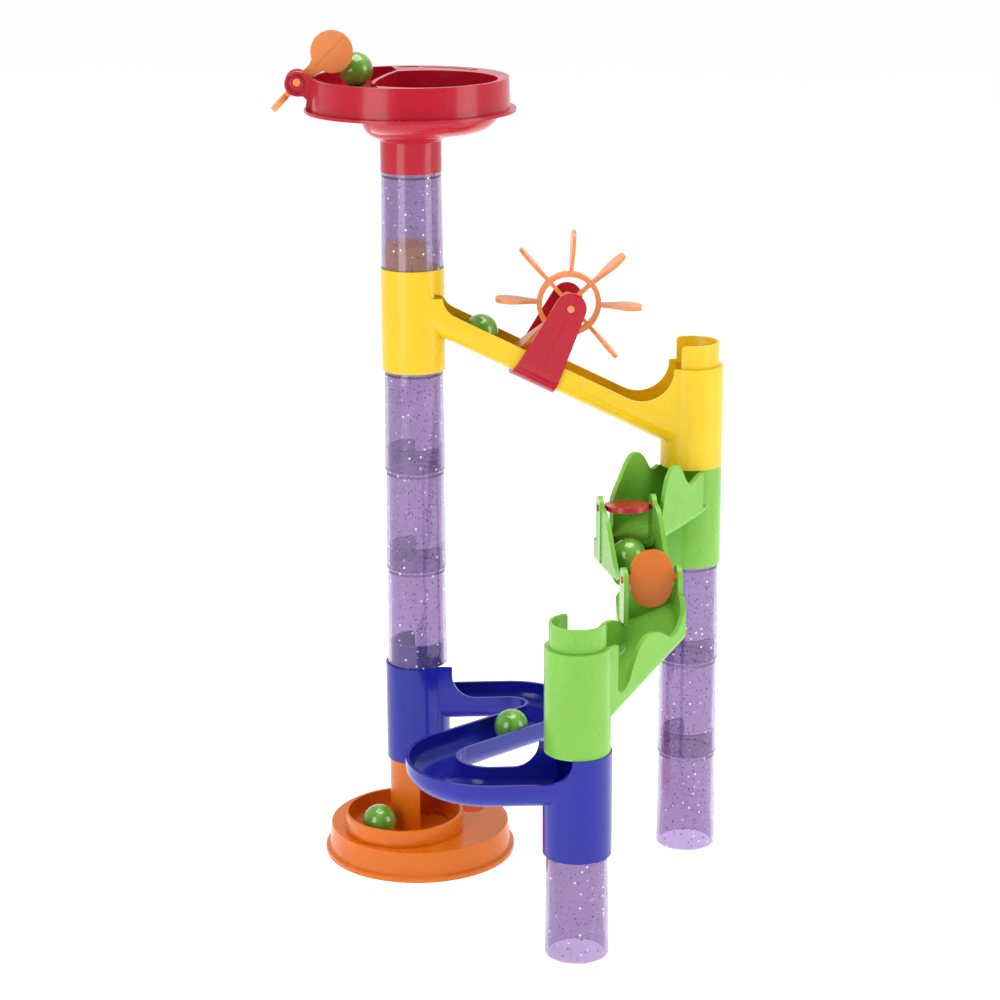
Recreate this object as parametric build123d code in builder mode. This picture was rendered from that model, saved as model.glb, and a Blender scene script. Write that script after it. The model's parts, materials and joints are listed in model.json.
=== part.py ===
"""Stacked-tube marble run: three columns joined by a ramp, a cascade and an S-shaped track.

Frame: origin under the middle of the catch tray, on the axis of column A; +Z up, +X towards column B.
All lengths are in millimetres.
"""
from build123d import *
from math import atan, atan2, cos, degrees, radians, sin, sqrt
import os

os.makedirs("parts", exist_ok=True)

# ---------------------------------------------------------------- driving dimensions
marble_r = 8.0
pitch = 48.0              # height of one stacked module
top_tube_h = 44.5         # the tube under the top tray is a little shorter
column_b = (130.5, 0.0)
column_c = (68.0, -123.0)

tube_foot_r = 14.4        # outside of a clear tube at its lower end
tube_head_r = 13.7        # outside at its shoulder
spigot_r = 12.7           # outside of the split spigot on top of every module
spigot_bore_r = 11.4
spigot_h = 11.0
socket_r = 12.75          # socket that takes the spigot below
socket_depth = 12.0
notch_span = 118.0        # width in degrees of the split in a spigot
wall = 1.5
gap = 0.3                 # room left between pieces that move past each other

channel_half = 12.5       # outside half width of every marble channel
lane_half = channel_half - wall
channel_round = 9.0       # rounding along the underside of a channel


def joint_z(k):
    """Height of the k-th module joint above the floor."""
    return k * pitch


# ---------------------------------------------------------------- shared shapes
def heading(angle):
    """Horizontal unit vector at an azimuth in degrees."""
    return Vector(cos(radians(angle)), sin(radians(angle)), 0)


def side_plane(origin, angle):
    """Vertical plane whose X runs along an azimuth and whose Y is up."""
    d = heading(angle)
    return Plane(origin=origin, x_dir=d, z_dir=(d.Y, -d.X, 0))


def section_plane(origin, angle):
    """Vertical plane across an azimuth: X to the left of it, Y up."""
    d = heading(angle)
    return Plane(origin=origin, x_dir=(-d.Y, d.X, 0), z_dir=d)


def placed(shape, x, y, z, turn=0.0):
    return shape.moved(Location((x, y, z), (0, 0, turn)))


with BuildPart() as split_spigot:
    with BuildSketch():
        Circle(spigot_r)
        Circle(spigot_bore_r, mode=Mode.SUBTRACT)
        with BuildLine():
            reach = 2 * spigot_r
            half = notch_span / 2
            Polyline((0, 0), (reach * cos(radians(half)), reach * sin(radians(half))),
                     (reach, 0), (reach * cos(radians(half)), -reach * sin(radians(half))), close=True)
        make_face(mode=Mode.SUBTRACT)
    extrude(amount=spigot_h)
    top_corners = split_spigot.faces().sort_by(Axis.Z)[-1].edges().filter_by(GeomType.LINE)
    fillet(top_corners, 2.2)

# ---------------------------------------------------------------- clear tubes
tube_bore_r = 12.3
tube_notch_azimuth = 30.0


def clear_tube(height):
    """Tapered tube with the socket at its foot and a shoulder at its head."""
    with BuildPart() as body:
        with BuildSketch(Plane.XZ) as profile:
            with BuildLine():
                Polyline((socket_r, 0), (tube_foot_r, 0), (tube_head_r, height), (spigot_bore_r, height),
                         (spigot_bore_r, height - 1.6), (tube_bore_r, height - 2.6),
                         (tube_bore_r, socket_depth + 1), (socket_r, socket_depth), close=True)
            make_face()
        revolve(profile.sketch, axis=Axis.Z)
        rims = body.edges().filter_by(GeomType.CIRCLE).group_by(Axis.Z)[0]
        fillet(rims.sort_by(SortBy.RADIUS)[-1:], 0.4)
    return body.part


tube_places = {"tube_a_1": (0, 0, 2), "tube_a_2": (0, 0, 3), "tube_a_3": (0, 0, 4), "tube_a_4": (0, 0, 6),
               "tube_b_1": (*column_b, 0), "tube_b_2": (*column_b, 1), "tube_b_3": (*column_b, 2),
               "tube_c_1": (*column_c, 0)}
for tube_name, (tube_x, tube_y, level) in tube_places.items():
    tube_h = top_tube_h if tube_name == "tube_a_4" else pitch
    with BuildPart() as tube:
        add(placed(clear_tube(tube_h), tube_x, tube_y, joint_z(level)))
        add(placed(split_spigot.part, tube_x, tube_y, joint_z(level) + tube_h, tube_notch_azimuth))
    tube.part.label = tube_name
    export_step(tube.part, f"parts/{tube_name}.step")


# ---------------------------------------------------------------- collars and channels
def collar_body(x, y, z, radius, notch_azimuth):
    """Outside of a track collar with its split spigot."""
    with BuildSketch(Plane((x, y, z))) as ring:
        Circle(radius)
    extrude(ring.sketch, amount=pitch)
    add(placed(split_spigot.part, x, y, z + pitch, notch_azimuth))


def drill(x, y, radius, low, high):
    """Round upright hole between two heights."""
    with BuildSketch(Plane((x, y, low))) as hole:
        Circle(radius)
    extrude(hole.sketch, amount=high - low, mode=Mode.SUBTRACT)


def collar_bore(x, y, z, bore_r, floor_z=None):
    """Socket below and bore above; floor_z leaves a floor that turns the marble into the channel."""
    shoulder = z + pitch - 1.6
    drill(x, y, socket_r, z, z + socket_depth)
    drill(x, y, bore_r, z + socket_depth if floor_z is None else floor_z, shoulder)
    drill(x, y, spigot_bore_r, shoulder, z + pitch)


def channel_section(at, angle, half, below, above, rounding):
    """Cross-section of a channel: a box with its two lower corners rounded."""
    with BuildSketch(section_plane(at, angle)) as section:
        with Locations((0, (above - below) / 2)):
            Rectangle(2 * half, above + below)
        fillet(section.vertices().group_by(Axis.Y)[0], rounding)
    return section.sketch


def channel(start, end, half, below, above, rounding, mode=Mode.ADD):
    """Straight channel body between two floor points, cut upright at both ends."""
    run = Vector(*end) - Vector(*start)
    section = channel_section(start, degrees(atan2(run.Y, run.X)), half, below, above, rounding)
    extrude(section, amount=run.length, dir=run.normalized(), mode=mode)


def channel_turn(start, angle, radius, sweep, half, below, above, rounding, mode=Mode.ADD):
    """Level channel turn; a positive sweep turns left."""
    left = 1 if sweep > 0 else -1
    d = heading(angle)
    centre = (start[0] - left * radius * d.Y, start[1] + left * radius * d.X, start[2])
    section = channel_section(start, angle, half, below, above, rounding)
    revolve(section, axis=Axis(centre, (0, 0, left)), revolution_arc=abs(sweep), mode=mode)


# ---------------------------------------------------------------- catch tray
tray_r = 43.0
tray_h = 14.0
flange_r = 46.0
pocket_centre = (-7.7, -8.5)
pocket_r = 27.0
pocket_floor = 11.5
pocket_rim = 22.5
pocket_round = 5.0                # rounding around the bottom of the pocket
column_r = 14.1
land_hole = (26.0, 12.0)
land_hole_r = 6.0


def pocket_solid(radius, low, high, rounding):
    """Upright drum on the pocket's axis, rounded around its bottom."""
    with BuildPart() as drum:
        with BuildSketch(Plane((*pocket_centre, low))) as disc:
            Circle(radius)
        extrude(disc.sketch, amount=high - low)
        fillet(drum.edges().group_by(Axis.Z)[0], rounding)
    return drum.part


with BuildPart() as base_tray:
    with BuildSketch(Plane.XZ):
        with BuildLine():
            Polyline((0, tray_h - 2), (tray_r - 3.2, tray_h - 2), (tray_r - 1.2, 0), (flange_r, 0),
                     (flange_r, 2.2), (tray_r + 1.2, 3.0), (tray_r, tray_h), (0, tray_h), close=True)
        make_face()
    revolve(axis=Axis.Z)
    add(pocket_solid(pocket_r + wall, pocket_floor - 2, pocket_rim, pocket_round + wall))
    add(pocket_solid(pocket_r, pocket_floor, 2 * pocket_rim, pocket_round), mode=Mode.SUBTRACT)
    with BuildSketch(Plane((*land_hole, tray_h - 3))):
        Circle(land_hole_r)
    extrude(amount=4, mode=Mode.SUBTRACT)
    with BuildSketch(Plane.XY):
        Circle(8)
    extrude(amount=pocket_floor)
    with BuildSketch(Plane.XY.offset(pocket_floor - 1)):
        Circle(column_r)
        Circle(column_r - wall, mode=Mode.SUBTRACT)
    extrude(amount=pitch - pocket_floor + 1)
    with BuildSketch(Plane.XY.offset(pitch - 1.6)):
        Circle(column_r)
        Circle(spigot_bore_r, mode=Mode.SUBTRACT)
    extrude(amount=1.6)
    add(placed(split_spigot.part, 0, 0, pitch, 0))
    with BuildSketch(Plane((0, 0, pocket_floor))):
        Circle(column_r + 0.3)
        with BuildLine():
            Polyline((0, 0), (0, -20), (20, -20), (20, 14), (8, 14), close=True)
        make_face(mode=Mode.INTERSECT)
    extrude(amount=pitch - pocket_floor - 3, mode=Mode.SUBTRACT)
base_tray.part.label = "base_tray"
export_step(base_tray.part, "parts/base_tray.step")

# ---------------------------------------------------------------- blue S-track, column C down to column A
track_collar_r = 15.3
track_first_turn_r = 19.0
track_last_turn_r = 26.0
track_sweep = 134.0
track_first_run = 43.7
track_floor_a = 69.5
track_fall = (0.0, 3.8, 0.0)      # fall of the run at A, of the diagonal and of the run at C
track_depth = 10.8

t = radians(track_sweep)
run_two_y = column_c[1] + (track_first_turn_r + track_last_turn_r) * (1 - cos(t))
track_diagonal = -run_two_y / sin(t)
turn_one_start = (track_first_run, 0, track_floor_a + track_fall[0])
turn_one_end = (track_first_run + track_first_turn_r * sin(t), -track_first_turn_r * (1 - cos(t)),
                turn_one_start[2])
turn_two_start = (turn_one_end[0] + track_diagonal * cos(t), turn_one_end[1] - track_diagonal * sin(t),
                  turn_one_end[2] + track_fall[1])
turn_two_end = (turn_two_start[0] + track_last_turn_r * sin(t), column_c[1], turn_two_start[2])
track_floor_c = turn_two_end[2] + track_fall[2]
track_end = (column_c[0], column_c[1], track_floor_c)


def s_track(*section):
    """The whole S from column A to column C; section is half, below, above, rounding and mode."""
    channel((0, 0, track_floor_a), turn_one_start, *section)
    channel_turn(turn_one_start, 0, track_first_turn_r, -track_sweep, *section)
    channel(turn_one_end, turn_two_start, *section)
    channel_turn(turn_two_start, -track_sweep, track_last_turn_r, track_sweep, *section)
    channel(turn_two_end, track_end, *section)


right_mouth = 16.2                # where the wall right of the lane reaches the collar's top
left_mouth = 3.1                  # the left wall opens further back, around the collar
mouth_curve_r = 11.6


def flared_walls(x, y, angle, rim_z, top_z, half):
    """Side walls that rise from the channel rim to a collar's top in a hollow curve."""
    for side, mouth in ((-1, right_mouth), (1, left_mouth)):
        lateral = side * (half - wall / 2)
        d = heading(angle)
        origin = (x - d.Y * lateral, y + d.X * lateral, 0)
        curve_end = (mouth + mouth_curve_r, rim_z)
        with BuildSketch(side_plane(origin, angle)) as plate:
            with BuildLine():
                Polyline(curve_end, (curve_end[0], rim_z - 4), (0, rim_z - 4), (0, top_z), (mouth, top_z),
                         (mouth, rim_z + mouth_curve_r))
                RadiusArc((mouth, rim_z + mouth_curve_r), curve_end, -mouth_curve_r)
            make_face()
        extrude(plate.sketch, amount=wall / 2, both=True)


def collar_mouth(x, y, angle, rim_z, top_z, near, far):
    """Cut the left side of a collar open above the same hollow curve."""
    d = heading(angle)
    origin = (x - d.Y * far, y + d.X * far, 0)
    curve_end = (left_mouth + mouth_curve_r, rim_z)
    with BuildSketch(side_plane(origin, angle)) as window:
        with BuildLine():
            Polyline(curve_end, (curve_end[0] + 10, rim_z), (curve_end[0] + 10, top_z), (left_mouth, top_z),
                     (left_mouth, rim_z + mouth_curve_r))
            RadiusArc((left_mouth, rim_z + mouth_curve_r), curve_end, -mouth_curve_r)
        make_face()
    extrude(window.sketch, amount=far - near, dir=(d.Y, -d.X, 0), mode=Mode.SUBTRACT)


with BuildPart() as blue_s_track:
    collar_body(0, 0, joint_z(1), track_collar_r, 36)
    collar_body(*column_c, joint_z(1), track_collar_r, 180)
    s_track(channel_half - 0.5, wall, track_depth, channel_round, Mode.ADD)
    flared_walls(0, 0, 0, track_floor_a + track_depth, joint_z(2), channel_half - 0.5)
    flared_walls(*column_c, 180, track_floor_c + track_depth, joint_z(2), channel_half - 0.5)
    s_track(lane_half - 0.5, 0, joint_z(2) - track_floor_a, channel_round - wall, Mode.SUBTRACT)
    collar_bore(0, 0, joint_z(1), track_collar_r - 1.7)
    collar_bore(*column_c, joint_z(1), track_collar_r - 1.7, track_floor_c)
    collar_mouth(0, 0, 0, track_floor_a + track_depth, joint_z(2), 8, 17)
    collar_mouth(*column_c, 180, track_floor_c + track_depth, joint_z(2), 8, 17)
blue_s_track.part.label = "blue_s_track"
export_step(blue_s_track.part, "parts/blue_s_track.step")

# ---------------------------------------------------------------- yellow ramp, column A down to column B
ramp_collar_r = 14.75
ramp_slope = 0.4955
ramp_floor_a = 263.6              # floor height on column A's axis
ramp_depth = 12.3
ramp_under = 1.6
ramp_angle = atan(ramp_slope)
window_h = 18.5                   # height of the arched mouth over the lane at column A
lane_back = 7.0                   # a lane starts this far behind its collar's axis


def ramp_floor(x):
    return ramp_floor_a - ramp_slope * x


def flare_plates(x, y, angle, rim_z, slope, mouth, radius, top_z, low):
    """Side plates whose rim follows a slope and then curves up to the collar at the mouth."""
    stretch = sqrt(1 + slope * slope)

    def rim(s):
        return rim_z + slope * s

    arc_z = rim_z + slope * (mouth + radius) + radius * stretch
    middle = (mouth + radius, arc_z)
    start = (middle[0] - radius, arc_z)
    halfway = (middle[0] - radius * 0.72, arc_z - radius * sqrt(1 - 0.72 * 0.72))
    end = (middle[0] + radius * slope / stretch, arc_z - radius / stretch)
    for side in (-1, 1):
        lateral = side * (channel_half - wall / 2)
        d = heading(angle)
        origin = (x - d.Y * lateral, y + d.X * lateral, 0)
        with BuildSketch(side_plane(origin, angle)) as plate:
            with BuildLine():
                ThreePointArc(start, halfway, end)
                Polyline(end, (end[0], rim(end[0]) - low), (7, rim(7) - low), (7, top_z), (start[0], top_z),
                         start)
            make_face()
        extrude(plate.sketch, amount=wall / 2, both=True)


with BuildPart() as yellow_ramp:
    collar_body(0, 0, joint_z(5), ramp_collar_r, 0)
    collar_body(*column_b, joint_z(4), ramp_collar_r, 180)
    ramp_top = (0, 0, ramp_floor(0))
    ramp_end = (column_b[0], 0, ramp_floor(column_b[0]))
    channel(ramp_top, ramp_end, channel_half, ramp_under, ramp_depth, channel_round)
    flare_plates(0, 0, 0, ramp_floor(0) + ramp_depth, -ramp_slope, 13.6, 10.0, 275.1, 3.0)
    flare_plates(*column_b, 180, ramp_end[2] + ramp_depth, ramp_slope, 9.5, 14.9, joint_z(5), 3.0)
    lane_start = (-lane_back, 0, ramp_floor(-lane_back))
    channel(lane_start, ramp_end, lane_half, 0, window_h, channel_round - wall, Mode.SUBTRACT)
    mouth_start = (column_b[0] - 24, 0, ramp_floor(column_b[0] - 24))
    channel(mouth_start, ramp_end, lane_half, 0, 50, channel_round - wall, Mode.SUBTRACT)
    collar_bore(0, 0, joint_z(5), ramp_collar_r - 1.7, ramp_floor(-lane_back) + 0.6)
    drill(0, 0, 12.2, joint_z(5) + socket_depth - 1, joint_z(5) + 14.5)
    collar_bore(*column_b, joint_z(4), ramp_collar_r - 1.7)
yellow_ramp.part.label = "yellow_ramp"
export_step(yellow_ramp.part, "parts/yellow_ramp.step")

# ---------------------------------------------------------------- paddle wheel in its saddle bracket
wheel_x = 72.4
wheel_z = 269.9
wheel_at = (wheel_x, 0, wheel_z)
ear_r = 7.3
ear_foot_half = 11.3
ear_length = 43.0
bracket_clear = 0.12
bracket_half = channel_half + bracket_clear + wall
axle_r = 1.68
axle_hole_r = 1.75
mark_depth = 0.15

with BuildPart() as wheel_bracket:
    strap_start = (wheel_x - 45, 0, ramp_floor(wheel_x - 45))
    strap_end = (wheel_x + 30, 0, ramp_floor(wheel_x + 30))
    channel(strap_start, strap_end, bracket_half, ramp_under + 1.9, 75, channel_round + 1.6)
    channel(strap_start, strap_end, channel_half + bracket_clear, ramp_under + 0.14, 80, channel_round + 0.1,
            Mode.SUBTRACT)
    with BuildSketch(Plane((wheel_x, 40, wheel_z), x_dir=(cos(ramp_angle), 0, -sin(ramp_angle)),
                           z_dir=(0, -1, 0))) as ear:
        with BuildLine():
            ThreePointArc((-ear_r, 0), (0, ear_r), (ear_r, 0))
            Polyline((ear_r, 0), (ear_foot_half, -ear_length), (-ear_foot_half, -ear_length), (-ear_r, 0))
        make_face()
    extrude(ear.sketch, amount=80, mode=Mode.INTERSECT)
    with BuildSketch(Plane(wheel_at, x_dir=(1, 0, 0), z_dir=(0, -1, 0))) as pin_hole:
        Circle(axle_hole_r)
    extrude(pin_hole.sketch, amount=40, both=True, mode=Mode.SUBTRACT)
    # moulding line and ejector mark on the outer faces
    for side in (-1, 1):
        with BuildSketch(Plane((wheel_x, side * (bracket_half - mark_depth), wheel_z),
                               x_dir=(cos(ramp_angle), 0, -sin(ramp_angle)), z_dir=(0, -1, 0))) as marks:
            with Locations((0.4, -15.4)):
                Rectangle(0.4, 43.2)
            with Locations((0.4, -38.2)):
                Circle(1.3)
                Circle(0.9, mode=Mode.SUBTRACT)
        extrude(marks.sketch, amount=-side, mode=Mode.SUBTRACT)
wheel_bracket.part.label = "wheel_bracket"
export_step(wheel_bracket.part, "parts/wheel_bracket.step")

paddle_count = 8
paddle_start_angle = -4.0
paddle_tip_r = 34.3
ring_r = 15.0
ring_bore_r = 12.6
paddle_t = 1.7


def radial_plane(angle):
    """Plane that holds the wheel's axis: X outward at an angle above +X, Y along the axle."""
    out = (cos(radians(angle)), 0, sin(radians(angle)))
    return Plane(wheel_at, x_dir=out, z_dir=(-sin(radians(angle)), 0, cos(radians(angle))))


with BuildPart() as paddle_wheel:
    with BuildSketch(Plane(wheel_at, x_dir=(1, 0, 0), z_dir=(0, -1, 0))):
        Circle(ring_r)
        Circle(ring_bore_r, mode=Mode.SUBTRACT)
    extrude(amount=2.0, both=True)
    with BuildSketch(Plane(wheel_at, x_dir=(1, 0, 0), z_dir=(0, -1, 0))):
        Circle(3.2)
    extrude(amount=11.6, both=True)
    with BuildSketch(Plane(wheel_at, x_dir=(1, 0, 0), z_dir=(0, -1, 0))):
        Circle(axle_r)
    extrude(amount=bracket_half + 0.4, both=True)
    for k in range(paddle_count):
        with BuildSketch(radial_plane(paddle_start_angle + k * 360 / paddle_count)):
            with BuildLine():
                upper = Spline((ring_r - 1.2, 1.9), (21, 4.6), (27.5, 7.4), (32, 6.0), (paddle_tip_r, 0),
                               tangents=((1, 0.2), (0, -1)))
                mirror(upper, about=Plane.XZ)
                Line((ring_r - 1.2, 1.9), (ring_r - 1.2, -1.9))
            make_face()
            if k % 2:
                with Locations(((ring_r + 1) / 2, 0)):
                    Rectangle(ring_r - 1, 3.4)
        extrude(amount=paddle_t / 2, both=True)
paddle_wheel.part.label = "paddle_wheel"
export_step(paddle_wheel.part, "parts/paddle_wheel.step")

# ---------------------------------------------------------------- green cascade, column B down to column C
cascade_collar_r = 14.7
green_half = 13.4                  # outside half width of the bowls
green_wall = 2.2
green_lane = green_half - green_wall
flap_azimuth = 5.0                 # direction of both flap axles
red_axle = (96.3, -42.0, 183.0)
orange_axle = (104.2, -79.0, 160.0)
flap_axle_r = 1.6
flap_hole_r = 1.67
flap_t = 2.4
ear_top_r = 5.5
upper_heading = degrees(atan2(red_axle[1] - column_b[1], red_axle[0] - column_b[0]))
middle_heading = degrees(atan2(orange_axle[1] - red_axle[1], orange_axle[0] - red_axle[0]))
lower_heading = 45.8               # from column C back up the lower bowl
upper_floor_z = 172.4              # floor on column B's axis
upper_slope = 0.125
upper_length = 51.0
middle_floor_z = 156.0             # floor under the red axle
middle_slope = 0.06
middle_back = -8.0
middle_lip = 24.0
lower_floor_z = 107.9              # floor line extended to column C's axis
lower_slope = 0.48
bowl_round = 4.5                   # lower corners of the two upper bowls
bowl_rise = bowl_round - ramp_under + 0.4


def along(origin, angle, distance, z):
    d = heading(angle)
    return (origin[0] + d.X * distance, origin[1] + d.Y * distance, z)


def on_upper_floor(s):
    """Point on the upper bowl's floor, s from column B's axis."""
    return along(column_b, upper_heading, s, upper_floor_z - upper_slope * s)


def on_middle_floor(s):
    """Point on the middle bowl's floor, s from the red axle."""
    return along(red_axle, middle_heading, s, middle_floor_z - middle_slope * s)


def wave_plate(origin, angle, side, top_points, floor_z, slope, rise):
    """Thin side wall with a wavy top edge; side is +1 on the left of the heading."""
    lateral = side * (green_half - green_wall / 2)
    d = heading(angle)
    at = (origin[0] - d.Y * lateral, origin[1] + d.X * lateral, 0)
    first = top_points[0]
    last = top_points[-1]
    foot = [(s, floor_z - slope * s + rise) for s in (last[0], first[0])]
    with BuildSketch(side_plane(at, angle)) as plate:
        with BuildLine():
            Spline(*top_points)
            Polyline(last, *foot, first)
        make_face()
    extrude(plate.sketch, amount=green_wall / 2, both=True)


def flap_ear(axle, side, foot_z):
    """Rounded lug beside a flap, square to its axle."""
    d = heading(flap_azimuth)
    lateral = side * (green_half - green_wall / 2)
    at = (axle[0] + d.X * lateral, axle[1] + d.Y * lateral, axle[2])
    with BuildSketch(side_plane(at, flap_azimuth + 90)) as lug:
        with BuildLine():
            ThreePointArc((-ear_top_r, 0), (0, ear_top_r), (ear_top_r, 0))
            foot = foot_z - axle[2]
            Polyline((ear_top_r, 0), (ear_top_r, foot), (-ear_top_r, foot), (-ear_top_r, 0))
        make_face()
    extrude(lug.sketch, amount=green_wall / 2, both=True)


def flap_hole(axle):
    with BuildSketch(side_plane(axle, flap_azimuth + 90)) as hole:
        Circle(flap_hole_r)
    extrude(hole.sketch, amount=green_half + 3, both=True, mode=Mode.SUBTRACT)


lower_plan = [(89.4, -65.0), (116.4, -62.6), (118.6, -91.6), (77.0, -132.4), (58.6, -113.6), (90.2, -82.0)]
lower_top = [(11.6, 124.0), (14.4, 121.6), (17.6, 123.6), (20.8, 129.0), (24.6, 137.0), (30.0, 142.6),
             (36.6, 143.8), (43.0, 141.4), (49.0, 138.6), (54.0, 143.0), (60.0, 153.4)]


def lower_floor(u):
    return lower_floor_z + lower_slope * u


with BuildPart() as lower_bowl:
    with BuildSketch(Plane.XY.offset(90)):
        Polygon(*lower_plan, align=None)
    extrude(amount=90)
    with BuildSketch(side_plane((*column_c, 0), lower_heading).offset(-60)):
        with BuildLine():
            Spline(*lower_top)
            Polyline(lower_top[-1], (90, 153.4), (90, lower_floor(90) - ramp_under),
                     (0, lower_floor(0) - ramp_under), (0, joint_z(3)), (11.8, joint_z(3)), lower_top[0])
        make_face()
    extrude(amount=120, mode=Mode.INTERSECT)
    under_face = lower_bowl.faces().filter_by(lambda f: f.normal_at().Z < -0.5)
    fillet(under_face.edges().sort_by(SortBy.LENGTH)[-3:], 4.0)

with BuildPart() as lower_hollow:
    with BuildSketch(Plane.XY.offset(90)):
        Polygon(*lower_plan, align=None)
        offset(amount=-green_wall, kind=Kind.INTERSECTION)
    extrude(amount=110)
    with BuildSketch(side_plane((*column_c, 0), lower_heading).offset(-60)):
        with BuildLine():
            Polyline((0, lower_floor(0)), (90, lower_floor(90)), (90, 200), (0, 200), close=True)
        make_face()
    extrude(amount=120, mode=Mode.INTERSECT)
    floor_face = lower_hollow.faces().filter_by(lambda f: f.normal_at().Z < -0.5)
    fillet(floor_face.edges().sort_by(SortBy.LENGTH)[-3:], 3.0)

with BuildPart() as green_cascade:
    collar_body(*column_c, joint_z(2), cascade_collar_r, lower_heading)
    add(lower_bowl.part)
    add(lower_hollow.part, mode=Mode.SUBTRACT)
    # middle bowl, between the two flaps
    middle_a = on_middle_floor(middle_back)
    middle_b = on_middle_floor(middle_lip)
    channel(middle_a, middle_b, green_half, ramp_under, bowl_rise, bowl_round)
    channel(middle_a, on_middle_floor(-2.5), green_half, ramp_under, 10.5, bowl_round)
    wave_plate(red_axle, middle_heading, -1,
               [(-3.4, 184.0), (3.4, 184.0), (7.8, 182.0), (12.8, 177.5), (17.9, 170.5), (25.5, 161.0),
                (29.5, 158.0)],
               middle_floor_z, middle_slope, bowl_rise - 0.2)
    wave_plate(red_axle, middle_heading, 1,
               [(-3.4, 184.0), (3.4, 185.0), (8.0, 184.0), (12.6, 180.0), (16.7, 173.5), (21.5, 166.0),
                (29.5, 158.0)],
               middle_floor_z, middle_slope, bowl_rise - 0.2)
    channel(on_middle_floor(middle_back + wall), on_middle_floor(middle_lip + 1), green_lane, 0, 50,
            bowl_round - wall, Mode.SUBTRACT)
    # upper bowl at column B
    collar_body(*column_b, joint_z(3), cascade_collar_r, upper_heading)
    channel(on_upper_floor(0), on_upper_floor(upper_length), green_half, ramp_under, bowl_rise, bowl_round)
    top_z = joint_z(4)
    wave_plate(column_b, upper_heading, -1,
               [(9.5, top_z - 0.5), (13.0, top_z - 1.2), (16.5, 191.0), (19.5, 194.0), (23.9, 199.2),
                (29.0, 201.8), (34.5, 200.2), (41.0, 193.0), (46.0, 187.0), (48.5, 183.0)],
               upper_floor_z, upper_slope, bowl_rise - 0.2)
    wave_plate(column_b, upper_heading, 1,
               [(9.5, top_z - 0.5), (15.0, top_z - 2.0), (20.0, 188.4), (24.1, 190.6), (28.0, 196.4),
                (33.5, 200.0), (38.5, 197.0), (41.6, 190.3), (43.8, 182.0), (45.6, 173.0)],
               upper_floor_z, upper_slope, bowl_rise - 0.2)
    upper_start = on_upper_floor(-lane_back)
    channel(upper_start, on_upper_floor(upper_length + 1), green_lane, 0, 50, bowl_round - wall,
            Mode.SUBTRACT)
    # bores of the two collars
    collar_bore(*column_b, joint_z(3), cascade_collar_r - 1.7, upper_start[2])
    drill(*column_b, 12.2, joint_z(3) + socket_depth - 1, joint_z(3) + 20)
    collar_bore(*column_c, joint_z(2), cascade_collar_r - 1.7)
    # lugs that hold the flaps
    for side in (-1, 1):
        flap_ear(red_axle, side, 158.0)
        flap_ear(orange_axle, side, 140.0)
    flap_hole(red_axle)
    flap_hole(orange_axle)
green_cascade.part.label = "green_cascade"
export_step(green_cascade.part, "parts/green_cascade.step")


def flap(axle, tilt, lobe_r, lobe_at, label):
    """Two-lobed tipping plate on stub axles; tilt is measured from level about the axle."""
    d = heading(flap_azimuth)
    across = heading(flap_azimuth + 90)
    length_dir = (across.X * cos(radians(tilt)), across.Y * cos(radians(tilt)), sin(radians(tilt)))
    normal = Vector(d.X, d.Y, 0).cross(Vector(*length_dir))
    with BuildPart() as plate:
        with BuildSketch(Plane(axle, x_dir=d, z_dir=normal)) as outline:
            with Locations((0, lobe_at), (0, -lobe_at)):
                Circle(lobe_r)
            Rectangle(2 * lobe_r, 2 * lobe_at)
            Rectangle(2 * lobe_r + 1.4, 4.0)
        extrude(outline.sketch, amount=flap_t / 2, both=True)
        for side in (-1, 1):
            stub_at = (axle[0] + side * d.X * lobe_r, axle[1] + side * d.Y * lobe_r, axle[2])
            with BuildSketch(side_plane(stub_at, flap_azimuth + 90)) as stub:
                Circle(flap_axle_r)
            extrude(stub.sketch, amount=green_half + 0.6 - lobe_r, dir=(side * d.X, side * d.Y, 0))
    plate.part.label = label
    export_step(plate.part, f"parts/{label}.step")


flap(red_axle, -6.8, 9.6, 3.0, "red_flap")
flap(orange_axle, 90.0, 9.6, 3.7, "orange_flap")

# ---------------------------------------------------------------- red top tray
rim_r = 45.0
rim_z = 375.3
skirt_z = 360.0
skirt_flange_r = 48.3
inner_r = rim_r - 1.8
neck_r = 14.0
neck_z = joint_z(6) + top_tube_h
neck_bore_r = 12.5
basin_at = (6.5, -9.0)            # the basin is wider than the land around it and meets the front wall
basin_r = 33.0
basin_floor_z = 353.0
basin_outside = [(13.0, 350.8), (21.0, 351.6), (27.0, 353.0), (31.5, 356.0), (34.3, 361.5), (34.8, 370.0)]
basin_inside = [(13.0, basin_floor_z), (20.0, 353.6), (26.0, 355.2), (30.2, 358.4), (32.6, 363.0),
                (basin_r, 369.0)]
funnel_outside = [(neck_r, 346.5), (15.7, 347.8), (18.6, 349.2), (21.6, 353.3), (22.6, 358.0)]
funnel_inside = [(neck_bore_r, 347.6), (14.4, 349.4), (17.4, 351.0), (20.0, 354.2), (20.8, 357.0)]
lane_floor_z = 369.2
ridge_half = 1.0
ridge_line = [(-4.6, 27.0), (-7.2, 19.0), (-10.4, 9.0), (-13.4, -3.0), (-15.6, -13.0), (-16.6, -20.5)]
lane_end = (-7.6, 38.0)
lever_at = (-51.0, 0, 373.9)
lever_hub_r = 4.2
lever_hub_half = 3.6
lug_half = 6.2
lug_t = 2.4
lug_r = 5.6
lug_drop = 0.8                    # the lug's round sits a little below the pin
lever_pin_r = 1.75
lever_hole_r = 1.82


def shifted(points, amount):
    """The same line of points moved sideways."""
    return [(x + amount, y) for x, y in points]


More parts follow.
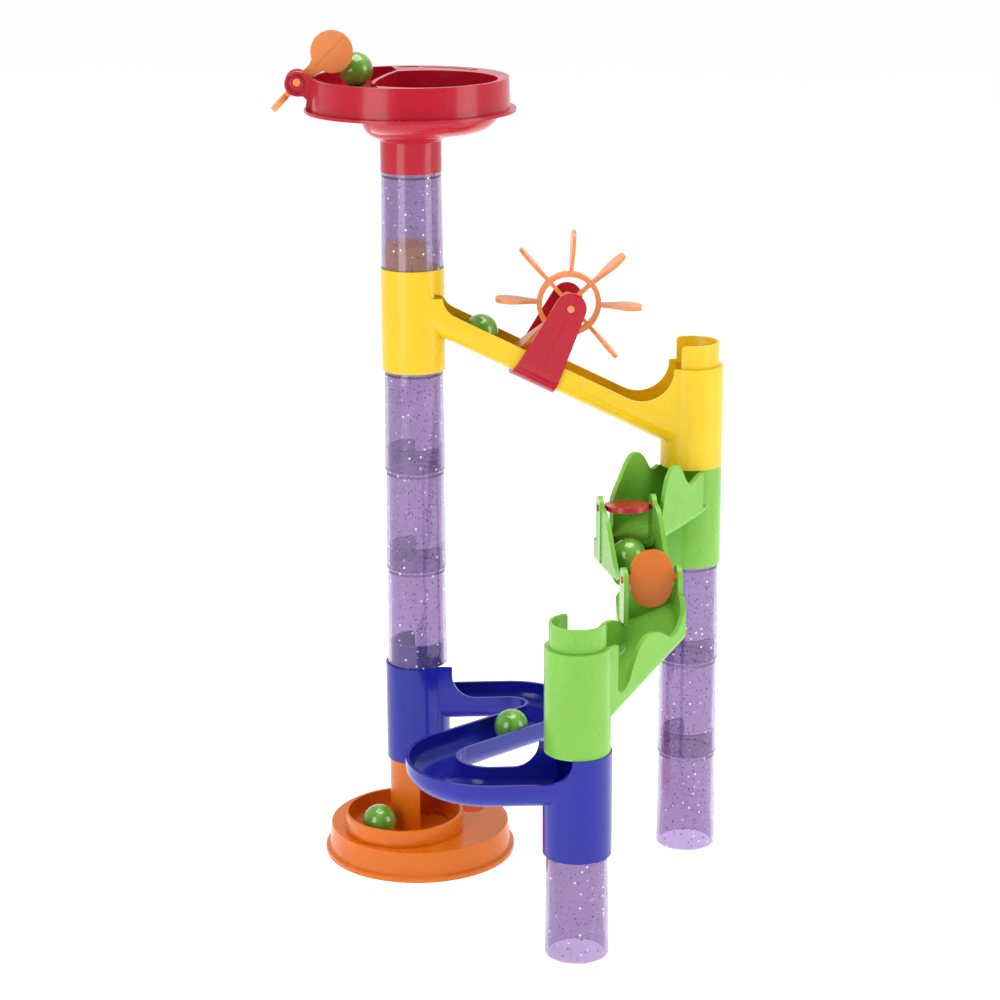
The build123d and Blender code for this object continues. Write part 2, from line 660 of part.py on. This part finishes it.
def basin_part(profile_points, limit_r, ridge_shift):
    """Bowl turned about the basin's axis, kept inside the outer wall and right of the ridge."""
    with BuildPart() as bowl:
        with BuildSketch(Plane((*basin_at, 0), x_dir=(1, 0, 0), z_dir=(0, -1, 0))) as profile:
            with BuildLine():
                first = profile_points[0]
                last = profile_points[-1]
                Line((0, first[1]), first)
                Spline(*profile_points)
                Polyline(last, (last[0], rim_z), (0, rim_z), (0, first[1]))
            make_face()
        revolve(profile.sketch, axis=Axis((*basin_at, 0), (0, 0, 1)))
        with BuildSketch(Plane.XY.offset(neck_z)) as limits:
            Circle(limit_r)
            with BuildLine():
                edge = shifted(ridge_line, ridge_shift)
                Spline(*edge)
                Polyline(edge[-1], (edge[-1][0] - 4.0, -60), (60, -60), (60, 60), (edge[0][0] + 3.0, 60),
                         edge[0])
            make_face(mode=Mode.INTERSECT)
        extrude(limits.sketch, amount=rim_z - neck_z + 5, mode=Mode.INTERSECT)
    return bowl.part


def funnel_part(low, start_r, curve, high):
    """Funnel turned about the column's axis."""
    with BuildPart() as funnel:
        with BuildSketch(Plane.XZ) as profile:
            with BuildLine():
                Polyline((0, high), (0, low), (start_r, low), curve[0])
                Spline(*curve)
                Polyline(curve[-1], (curve[-1][0], high), (0, high))
            make_face()
        revolve(profile.sketch, axis=Axis.Z)
    return funnel.part


with BuildPart() as lane_hollow:
    with BuildSketch(Plane.XY.offset(lane_floor_z)) as lane_plan:
        Circle(inner_r)
        with BuildLine():
            edge = shifted(ridge_line, -ridge_half)
            Spline(*edge)
            Polyline(edge[-1], (edge[-1][0] + 5.0, -50), (-60, -50), (-60, 60), (lane_end[0] - 1.5, 60),
                     lane_end, edge[0])
        make_face(mode=Mode.INTERSECT)
    extrude(lane_plan.sketch, amount=10)
    far_corners = lane_hollow.edges().filter_by(Axis.Z).sort_by(Axis.Y)[-2:]
    fillet(far_corners, 2.0)

with BuildPart() as top_tray:
    with BuildSketch(Plane.XZ) as shell:
        with BuildLine():
            Polyline((0, rim_z - 1.8), (inner_r - 0.2, rim_z - 1.8), (inner_r, skirt_z),
                     (skirt_flange_r, skirt_z), (skirt_flange_r, skirt_z + 1.3),
                     (rim_r + 0.6, skirt_z + 1.6), (rim_r, rim_z), (0, rim_z), close=True)
        make_face()
    revolve(shell.sketch, axis=Axis.Z)
    # basin shell, funnel and neck
    add(basin_part(basin_outside, rim_r - 0.8, -ridge_half))
    add(funnel_part(neck_z, neck_r, funnel_outside, 359.5))
    # floor under the lane
    with BuildSketch(Plane.XY.offset(lane_floor_z - 1.6)) as lane_slab:
        Circle(inner_r + 0.4)
        with BuildLine():
            Polyline((-60, -60), (-8, -60), (-8, -20), (-6, 30), (0, 60), (-60, 60), close=True)
        make_face(mode=Mode.INTERSECT)
    extrude(lane_slab.sketch, amount=rim_z - lane_floor_z + 1.6)
    add(lane_hollow.part, mode=Mode.SUBTRACT)
    add(basin_part(basin_inside, inner_r, ridge_half), mode=Mode.SUBTRACT)
    add(funnel_part(345.0, neck_bore_r, funnel_inside, 357.6), mode=Mode.SUBTRACT)
    drill(0, 0, socket_r, neck_z, neck_z + socket_depth)
    drill(0, 0, neck_bore_r, neck_z + socket_depth, 346.0)
    # shallow groove and slot in the flat land behind the basin
    with BuildSketch(Plane.XY.offset(rim_z - 0.8)) as grooves:
        with BuildLine():
            long_path = CenterArc((0, 0), 38.2, 46, 34)
        SlotArc(arc=long_path, height=2.6)
        with BuildLine():
            short_path = CenterArc((0, 0), 39.0, 85, 10)
        SlotArc(arc=short_path, height=4.0)
        with Locations((29.6, 24.6)):
            Circle(2.2)
    extrude(grooves.sketch, amount=3, mode=Mode.SUBTRACT)
    # lugs for the lever: raised outer edge and a boss around the pin
    for side in (-1, 1):
        lug_middle = (0, side * (lug_half - lug_t / 2), 0)
        with BuildSketch(Plane(lug_middle, x_dir=(1, 0, 0), z_dir=(0, -1, 0))) as lug:
            with Locations((lever_at[0], lever_at[2] - lug_drop)):
                Circle(lug_r)
            with BuildLine():
                Polyline((lever_at[0], lever_at[2] - lug_drop + lug_r), (-47.0, rim_z + 2.2),
                         (-43.8, rim_z - 0.4), (-43.8, skirt_z + 1), (-47.4, skirt_z + 1), (-46.8, 366.0),
                         (-48.2, lever_at[2] - lug_drop - lug_r),
                         (lever_at[0], lever_at[2] - lug_drop - lug_r), close=True)
            make_face()
        extrude(lug.sketch, amount=lug_t / 2, both=True)
        with BuildSketch(Plane((0, side * lug_half, 0), x_dir=(1, 0, 0), z_dir=(0, -1, 0))) as dish:
            with Locations((lever_at[0], lever_at[2] - lug_drop)):
                Circle(lug_r - 1.2)
            with Locations((lever_at[0], lever_at[2])):
                Circle(3.1, mode=Mode.SUBTRACT)
        extrude(dish.sketch, amount=side * 0.8, mode=Mode.SUBTRACT)
    with BuildSketch(Plane(lever_at, x_dir=(1, 0, 0), z_dir=(0, -1, 0))) as eye:
        Circle(lever_hole_r)
    extrude(eye.sketch, amount=12, both=True, mode=Mode.SUBTRACT)
    with BuildSketch(Plane((lever_at[0], 0, lever_at[2] - 4.6))) as hub_room:
        with Locations((3.4, 0)):
            Rectangle(10.4, 2 * (lug_half - lug_t))
    extrude(hub_room.sketch, amount=20, mode=Mode.SUBTRACT)
top_tray.part.label = "top_tray"
export_step(top_tray.part, "parts/top_tray.step")

# ---------------------------------------------------------------- flick lever
gate_at = (15.9, 13.0)            # middle of the round gate, from the pivot
gate_r = 9.6
gate_half = 1.1
tab_root = (-2.2, -3.6)
tab_tip = (-11.4, -13.2)
lever_plane = Plane(lever_at, x_dir=(1, 0, 0), z_dir=(0, -1, 0))

with BuildPart() as flick_lever:
    with BuildSketch(lever_plane) as hub:
        Circle(lever_hub_r)
    extrude(hub.sketch, amount=lever_hub_half, both=True)
    with BuildSketch(lever_plane) as pin:
        Circle(lever_pin_r)
    extrude(pin.sketch, amount=lug_half + 0.6, both=True)
    with BuildSketch(lever_plane) as gate:
        with Locations(gate_at):
            Circle(gate_r)
        with BuildLine():
            Spline((7.0, 14.0), (6.7, 9.8), (5.2, 6.8), (0.5, 4.1))
            Polyline((0.5, 4.1), (4.1, -0.9))
            Spline((4.1, -0.9), (8.6, 2.6), (11.8, 4.3), (17.0, 4.2))
            Polyline((17.0, 4.2), (7.0, 14.0))
        make_face()
    extrude(gate.sketch, amount=gate_half, both=True)
    with BuildSketch(lever_plane.offset(gate_half - 0.25)) as crease:
        with Locations((14.8, 13.0)):
            Rectangle(19.0, 0.5, rotation=45)
    extrude(crease.sketch, amount=1, mode=Mode.SUBTRACT)
    tab_run = Vector(tab_tip[0] - tab_root[0], 0, tab_tip[1] - tab_root[1])
    tab_origin = Vector(lever_at[0] + tab_root[0], 0, lever_at[2] + tab_root[1])
    with BuildSketch(Plane(tab_origin, x_dir=tab_run, z_dir=(-tab_run.Z, 0, tab_run.X))) as tab:
        with Locations((tab_run.length / 2 - 1.0, 0)):
            Rectangle(tab_run.length - 2.0, 6.4)
        with Locations((tab_run.length - 5.4, 0)):
            Ellipse(5.4, 4.9)
    extrude(tab.sketch, amount=1.3, both=True)
flick_lever.part.label = "flick_lever"
export_step(flick_lever.part, "parts/flick_lever.step")

# ---------------------------------------------------------------- marbles
rest_gap = gap
ramp_marble_x = 31.5
on_slope = (marble_r + rest_gap) / cos(ramp_angle)
marble_places = {
    "marble_top": (-24.6, 10.6, lane_floor_z + marble_r + rest_gap),
    "marble_ramp": (ramp_marble_x, 0, ramp_floor(ramp_marble_x) + on_slope),
    "marble_cascade": along(on_middle_floor(12.5), middle_heading - 90, 2.6,
                            on_middle_floor(12.5)[2] + marble_r + rest_gap),
    "marble_track": along(turn_one_end, -track_sweep, 21.0,
                          turn_one_end[2] + track_fall[1] * 21.0 / track_diagonal + marble_r + rest_gap),
    "marble_base": (-19.8, -15.8, pocket_floor + marble_r + rest_gap),
}
for marble_name, centre in marble_places.items():
    with BuildPart() as marble:
        with Locations(centre):
            Sphere(marble_r)
    marble.part.label = marble_name
    export_step(marble.part, f"parts/{marble_name}.step")
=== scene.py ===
"""Looks for the stacked-tube marble run: moulded plastics, clear glitter tubes, pearly marbles and studio.

Everything is in metres in the row frame: +Z up, +X towards the right-hand column, camera on the -Y side.
"""
import json
import math

import bpy
from mathutils import Matrix, Vector

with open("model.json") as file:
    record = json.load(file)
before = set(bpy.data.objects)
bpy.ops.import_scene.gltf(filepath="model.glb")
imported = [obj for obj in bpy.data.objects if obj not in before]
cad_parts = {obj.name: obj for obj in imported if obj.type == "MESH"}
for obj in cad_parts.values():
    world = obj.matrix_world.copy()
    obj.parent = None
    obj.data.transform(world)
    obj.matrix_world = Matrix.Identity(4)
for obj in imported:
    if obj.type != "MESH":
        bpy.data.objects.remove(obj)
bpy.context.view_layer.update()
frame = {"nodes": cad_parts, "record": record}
nodes = frame["nodes"]
MM = 0.001

# ---------------------------------------------------------------- colours, linear
RED = (0.460, 0.007, 0.024)
YELLOW = (0.850, 0.570, 0.012)
GREEN = (0.215, 0.530, 0.066)
BLUE = (0.008, 0.012, 0.310)
ORANGE = (0.720, 0.160, 0.004)
ORANGE_PALE = (0.820, 0.280, 0.085)
PURPLE = (0.486, 0.381, 0.580)
TUBE_TINT = (0.86, 0.80, 0.92)      # what one tube wall does to a lamp's light
MARBLE_DARK = (0.105, 0.330, 0.020)
MARBLE_LIGHT = (0.185, 0.460, 0.045)
SILVER_FLECK = (1.0, 0.98, 1.0)
DARK_FLECK = (0.10, 0.05, 0.16)
WHITE = (1.0, 1.0, 1.0, 1.0)

# ---------------------------------------------------------------- sizes of the surface detail
# Texture scales are cells per metre of the object.
FLOW_SCALE = 38.0       # slow colour drift of the moulding
SCUFF_SCALE = 420.0     # patches of duller gloss
PEEL_SCALE = 900.0      # orange peel
CLOUD_SCALE = 55.0      # density of the purple tint
RIPPLE_SCALE = 60.0     # waviness of the tube walls
SWIRL_SCALE = 38.0      # bands in the marbles
# Two sizes of fleck: cells per metre, radius and lottery limit in cell units, shift of the cells
FLECK_LAYERS = ((390.0, 0.19, 0.66, 0.0), (620.0, 0.20, 0.78, 3.1))
DARK_SHARE = 0.42       # share of the larger flecks that are dark


# ---------------------------------------------------------------- material helpers
def new_material(name):
    """New material whose Principled shader is wired to the output."""
    mat = bpy.data.materials.new(name)
    mat.use_nodes = True
    tree = mat.node_tree
    tree.nodes.clear()
    out = tree.nodes.new("ShaderNodeOutputMaterial")
    shader = tree.nodes.new("ShaderNodeBsdfPrincipled")
    tree.links.new(shader.outputs["BSDF"], out.inputs["Surface"])
    return mat, tree, shader


def object_coords(tree):
    """The object's own coordinates in metres."""
    return tree.nodes.new("ShaderNodeTexCoord").outputs["Object"]


def noise(tree, coords, scale, detail=3.0, roughness=0.5):
    """Cloudy value between 0 and 1."""
    node = tree.nodes.new("ShaderNodeTexNoise")
    node.inputs["Scale"].default_value = scale
    node.inputs["Detail"].default_value = detail
    node.inputs["Roughness"].default_value = roughness
    tree.links.new(coords, node.inputs["Vector"])
    return node.outputs["Fac"]


def ramp(tree, value, stops):
    """Colour ramp from (position, RGB) stops."""
    node = tree.nodes.new("ShaderNodeValToRGB")
    points = node.color_ramp.elements
    while len(points) < len(stops):
        points.new(0.5)
    for point, (at, colour) in zip(points, stops):
        point.position = at
        point.color = (*colour, 1.0)
    tree.links.new(value, node.inputs["Fac"])
    return node.outputs["Color"]


def remap(tree, value, low, high, to_low, to_high):
    """Linear map of a value from one range to another, clamped."""
    node = tree.nodes.new("ShaderNodeMapRange")
    for key, number in (("From Min", low), ("From Max", high), ("To Min", to_low), ("To Max", to_high)):
        node.inputs[key].default_value = number
    tree.links.new(value, node.inputs["Value"])
    return node.outputs["Result"]


def math_node(tree, operation, a, b):
    """Math node of two inputs, each a number or another node's output."""
    node = tree.nodes.new("ShaderNodeMath")
    node.operation = operation
    for socket, value in zip(node.inputs, (a, b)):
        if isinstance(value, (int, float)):
            socket.default_value = value
        else:
            tree.links.new(value, socket)
    return node.outputs["Value"]


def mix_colour(tree, factor, a, b):
    """Blend from colour a to colour b, each an RGB tuple or another node's output."""
    node = tree.nodes.new("ShaderNodeMix")
    node.data_type = "RGBA"
    sockets = [s for s in node.inputs if s.type == "RGBA"]
    tree.links.new(factor, [s for s in node.inputs if s.type == "VALUE"][0])
    for socket, value in zip(sockets, (a, b)):
        if isinstance(value, tuple):
            socket.default_value = (*value, 1.0)
        else:
            tree.links.new(value, socket)
    return [s for s in node.outputs if s.type == "RGBA"][0]


def bump(tree, shader, height, strength, distance):
    """Fine relief on the shader's normal; distance is in metres."""
    node = tree.nodes.new("ShaderNodeBump")
    node.inputs["Strength"].default_value = strength
    node.inputs["Distance"].default_value = distance
    tree.links.new(height, node.inputs["Height"])
    tree.links.new(node.outputs["Normal"], shader.inputs["Normal"])


def let_lamps_through(tree, shader, colour):
    """Clear walls pass the lamps' light in a tint, so that what is inside them is lit."""
    out = next(node for node in tree.nodes if node.type == "OUTPUT_MATERIAL")
    rays = tree.nodes.new("ShaderNodeLightPath")
    tint = tree.nodes.new("ShaderNodeBsdfTransparent")
    tint.inputs["Color"].default_value = (*colour, 1.0)
    mixer = tree.nodes.new("ShaderNodeMixShader")
    tree.links.new(rays.outputs["Is Shadow Ray"], mixer.inputs["Fac"])
    tree.links.new(shader.outputs["BSDF"], mixer.inputs[1])
    tree.links.new(tint.outputs["BSDF"], mixer.inputs[2])
    tree.links.new(mixer.outputs["Shader"], out.inputs["Surface"])


def scaled(colour, k):
    """The colour k times as bright."""
    return tuple(min(1.0, c * k) for c in colour)


# ---------------------------------------------------------------- materials
def moulded_plastic(name, colour, roughness=0.24, milky=0.06, coat=0.10, variation=0.06):
    """Glossy injection-moulded plastic: faint flow variation in colour and gloss over a fine orange peel."""
    mat, tree, shader = new_material(name)
    at = object_coords(tree)
    flow = noise(tree, at, FLOW_SCALE, 4.0, 0.55)
    tone = ramp(tree, flow, [(0.30, scaled(colour, 1 - variation)), (0.70, scaled(colour, 1 + variation))])
    tree.links.new(tone, shader.inputs["Base Color"])
    scuff = noise(tree, at, SCUFF_SCALE, 5.0, 0.6)
    dulled = remap(tree, scuff, 0.3, 0.7, roughness - 0.05, roughness + 0.07)
    tree.links.new(dulled, shader.inputs["Roughness"])
    shader.inputs["Specular IOR Level"].default_value = 0.3
    shader.inputs["Coat Weight"].default_value = coat
    shader.inputs["Coat Roughness"].default_value = 0.08
    shader.inputs["Subsurface Weight"].default_value = milky
    shader.inputs["Subsurface Radius"].default_value = (0.004, 0.003, 0.002)
    peel = noise(tree, at, PEEL_SCALE, 2.0)
    bump(tree, shader, peel, 0.05, 0.00006)
    return mat


def glitter_plastic(name):
    """Clear purple plastic with silver and dark flecks moulded in."""
    mat, tree, shader = new_material(name)
    let_lamps_through(tree, shader, TUBE_TINT)
    at = object_coords(tree)
    cloud = noise(tree, at, CLOUD_SCALE)
    body = ramp(tree, cloud, [(0.3, scaled(PURPLE, 0.97)), (0.7, scaled(PURPLE, 1.03))])
    flecks = []
    for cell_scale, reach, chance, shift in FLECK_LAYERS:
        mapping = tree.nodes.new("ShaderNodeMapping")
        mapping.inputs["Location"].default_value = (shift, shift, shift)
        tree.links.new(at, mapping.inputs["Vector"])
        cells = tree.nodes.new("ShaderNodeTexVoronoi")
        cells.inputs["Scale"].default_value = cell_scale
        tree.links.new(mapping.outputs["Vector"], cells.inputs["Vector"])
        near = math_node(tree, "LESS_THAN", cells.outputs["Distance"], reach)
        split = tree.nodes.new("ShaderNodeSeparateColor")
        tree.links.new(cells.outputs["Color"], split.inputs["Color"])
        lucky = math_node(tree, "GREATER_THAN", split.outputs["Red"], chance)
        shown = math_node(tree, "MULTIPLY", near, lucky)
        flecks.append((shown, split.outputs["Green"]))
    (large, kind), (small, _) = flecks
    silver = math_node(tree, "MULTIPLY", large, math_node(tree, "GREATER_THAN", kind, DARK_SHARE))
    large_dark = math_node(tree, "MULTIPLY", large, math_node(tree, "LESS_THAN", kind, DARK_SHARE))
    dark = math_node(tree, "MAXIMUM", large_dark, small)
    tone = mix_colour(tree, dark, body, DARK_FLECK)
    tone = mix_colour(tree, silver, tone, SILVER_FLECK)
    tree.links.new(tone, shader.inputs["Base Color"])
    fleck = math_node(tree, "MAXIMUM", silver, dark)
    tree.links.new(remap(tree, fleck, 0.0, 1.0, 0.92, 0.10), shader.inputs["Transmission Weight"])
    tree.links.new(remap(tree, fleck, 0.0, 1.0, 0.03, 0.30), shader.inputs["Roughness"])
    shader.inputs["IOR"].default_value = 1.40
    shader.inputs["Coat Weight"].default_value = 0.2
    shader.inputs["Coat Roughness"].default_value = 0.05
    bump(tree, shader, noise(tree, at, RIPPLE_SCALE, 2.0), 0.04, 0.0002)
    return mat


def pearl_marble(name):
    """Pearly green glass marble with soft swirls under a clear gloss."""
    mat, tree, shader = new_material(name)
    at = object_coords(tree)
    wave = tree.nodes.new("ShaderNodeTexWave")
    wave.inputs["Scale"].default_value = SWIRL_SCALE
    wave.inputs["Distortion"].default_value = 5.0
    wave.inputs["Detail"].default_value = 2.5
    wave.inputs["Detail Scale"].default_value = 1.2
    tree.links.new(at, wave.inputs["Vector"])
    swirl = ramp(tree, wave.outputs["Fac"], [(0.0, MARBLE_DARK), (1.0, MARBLE_LIGHT)])
    tree.links.new(swirl, shader.inputs["Base Color"])
    tree.links.new(remap(tree, wave.outputs["Fac"], 0.0, 1.0, 0.16, 0.34), shader.inputs["Roughness"])
    tree.links.new(remap(tree, wave.outputs["Fac"], 0.0, 1.0, 0.0, 0.12), shader.inputs["Metallic"])
    shader.inputs["Coat Weight"].default_value = 1.0
    shader.inputs["Coat Roughness"].default_value = 0.03
    return mat


SLOTS = {
    "orange_plastic": moulded_plastic("moulded_orange", ORANGE, milky=0.20),
    "pale_orange_plastic": moulded_plastic("moulded_pale_orange", ORANGE_PALE, milky=0.10),
    "blue_plastic": moulded_plastic("moulded_blue", BLUE, roughness=0.20, milky=0.10, coat=0.15),
    "yellow_plastic": moulded_plastic("moulded_yellow", YELLOW, milky=0.10),
    "green_plastic": moulded_plastic("moulded_green", GREEN, milky=0.10),
    "red_plastic": moulded_plastic("moulded_red", RED, roughness=0.22, coat=0.15),
    "clear_purple": glitter_plastic("clear_purple_glitter"),
    "marble_green": pearl_marble("pearl_green"),
}
slot_of = {piece["node"]: piece["material_slot"] for piece in frame["record"]["subparts"]}


# ---------------------------------------------------------------- the moulded pieces
def finish_node(name, edge_mm):
    """Gives a CAD node its material, softened edges and smooth faces."""
    obj = nodes[name]
    obj.data.materials.clear()
    obj.data.materials.append(SLOTS[slot_of[name]])
    weld = obj.modifiers.new("weld", "WELD")
    weld.merge_threshold = 0.00001
    if edge_mm:
        edge = obj.modifiers.new("soft_edges", "BEVEL")
        edge.width = edge_mm * MM
        edge.segments = 2
        edge.limit_method = "ANGLE"
        edge.angle_limit = math.radians(40)
        edge.use_clamp_overlap = True
        edge.harden_normals = True
    for polygon in obj.data.polygons:
        polygon.use_smooth = True
    smooth = obj.modifiers.new("normals", "WEIGHTED_NORMAL")
    smooth.keep_sharp = True


SOFT_EDGE_MM = 0.3
ROUND_EDGE_MM = 0.6
ROUND_EDGED = ("green_cascade", "red_flap", "orange_flap")
for node_name in nodes:
    if node_name.startswith("marble"):
        finish_node(node_name, 0)
    elif node_name in ROUND_EDGED:
        finish_node(node_name, ROUND_EDGE_MM)
    else:
        finish_node(node_name, SOFT_EDGE_MM)

# ---------------------------------------------------------------- studio
FLOOR_HALF = 6.0
floor_mesh = bpy.data.meshes.new("floor")
floor_mesh.from_pydata(
    [(-FLOOR_HALF, -FLOOR_HALF, 0), (FLOOR_HALF, -FLOOR_HALF, 0), (FLOOR_HALF, FLOOR_HALF, 0),
     (-FLOOR_HALF, FLOOR_HALF, 0)], [], [(0, 1, 2, 3)])
floor = bpy.data.objects.new("floor", floor_mesh)
bpy.context.scene.collection.objects.link(floor)
floor_mat, floor_tree, floor_shader = new_material("pale_floor")
floor_tone = noise(floor_tree, object_coords(floor_tree), 3.0)
floor_colour = ramp(floor_tree, floor_tone, [(0.3, (0.90, 0.90, 0.90)), (0.7, (0.92, 0.92, 0.92))])
floor_tree.links.new(floor_colour, floor_shader.inputs["Base Color"])
floor_shader.inputs["Roughness"].default_value = 0.8
floor_shader.inputs["Emission Color"].default_value = WHITE
floor_shader.inputs["Emission Strength"].default_value = 0.55
floor_mesh.materials.append(floor_mat)

SKY_FRONT = 0.10        # brightness of the surroundings on the camera's side, and behind the object
SKY_BACK = 0.80
world = bpy.data.worlds.new("studio")
bpy.context.scene.world = world
world.use_nodes = True
backdrop = world.node_tree.nodes["Background"]
backdrop.inputs["Color"].default_value = WHITE
sky_coords = world.node_tree.nodes.new("ShaderNodeTexCoord")
sky_split = world.node_tree.nodes.new("ShaderNodeSeparateXYZ")
world.node_tree.links.new(sky_coords.outputs["Generated"], sky_split.inputs["Vector"])
sky_level = remap(world.node_tree, sky_split.outputs["Y"], -1.0, 1.0, SKY_FRONT, SKY_BACK)
world.node_tree.links.new(sky_level, backdrop.inputs["Strength"])


def softbox(name, at, target, width, height, watts):
    """Rectangular area light aimed at a point."""
    lamp = bpy.data.lights.new(name, "AREA")
    lamp.shape = "RECTANGLE"
    lamp.size = width
    lamp.size_y = height
    lamp.energy = watts
    obj = bpy.data.objects.new(name, lamp)
    bpy.context.scene.collection.objects.link(obj)
    obj.location = at
    obj.rotation_euler = (Vector(target) - Vector(at)).to_track_quat("-Z", "Y").to_euler()


softbox("key", (-0.62, -0.75, 0.42), (0.03, 0.0, 0.30), 0.50, 0.80, 4.2)
softbox("fill", (0.98, -0.42, 0.42), (0.05, 0.0, 0.30), 0.50, 0.80, 3.8)
softbox("top", (0.1, 0.0, 1.5), (0.05, -0.05, 0.2), 1.0, 1.0, 14.0)

# ---------------------------------------------------------------- camera
CAMERA_AT = Vector((-0.0126, -1.2065, 0.5166))
CAMERA_YAW = math.radians(2.495)
CAMERA_PITCH = math.radians(15.78)
CAMERA_ROLL = math.radians(-0.27)
LENS_MM = 95.3
SENSOR_MM = 36.0

level = math.cos(CAMERA_PITCH)
forward = Vector((level * math.sin(CAMERA_YAW), level * math.cos(CAMERA_YAW), -math.sin(CAMERA_PITCH)))
right = Vector((math.cos(CAMERA_YAW), -math.sin(CAMERA_YAW), 0.0))
up = right.cross(forward)
lens = bpy.data.cameras.new("camera")
lens.lens = LENS_MM
lens.sensor_width = SENSOR_MM
lens.clip_start = 0.05
lens.clip_end = 50.0
camera = bpy.data.objects.new("camera", lens)
bpy.context.scene.collection.objects.link(camera)
aim = Matrix((right, up, -forward)).transposed().to_4x4()
camera.matrix_world = Matrix.Translation(CAMERA_AT) @ aim @ Matrix.Rotation(CAMERA_ROLL, 4, "Z")
bpy.context.scene.camera = camera
bpy.context.scene.view_settings.view_transform = "Standard"
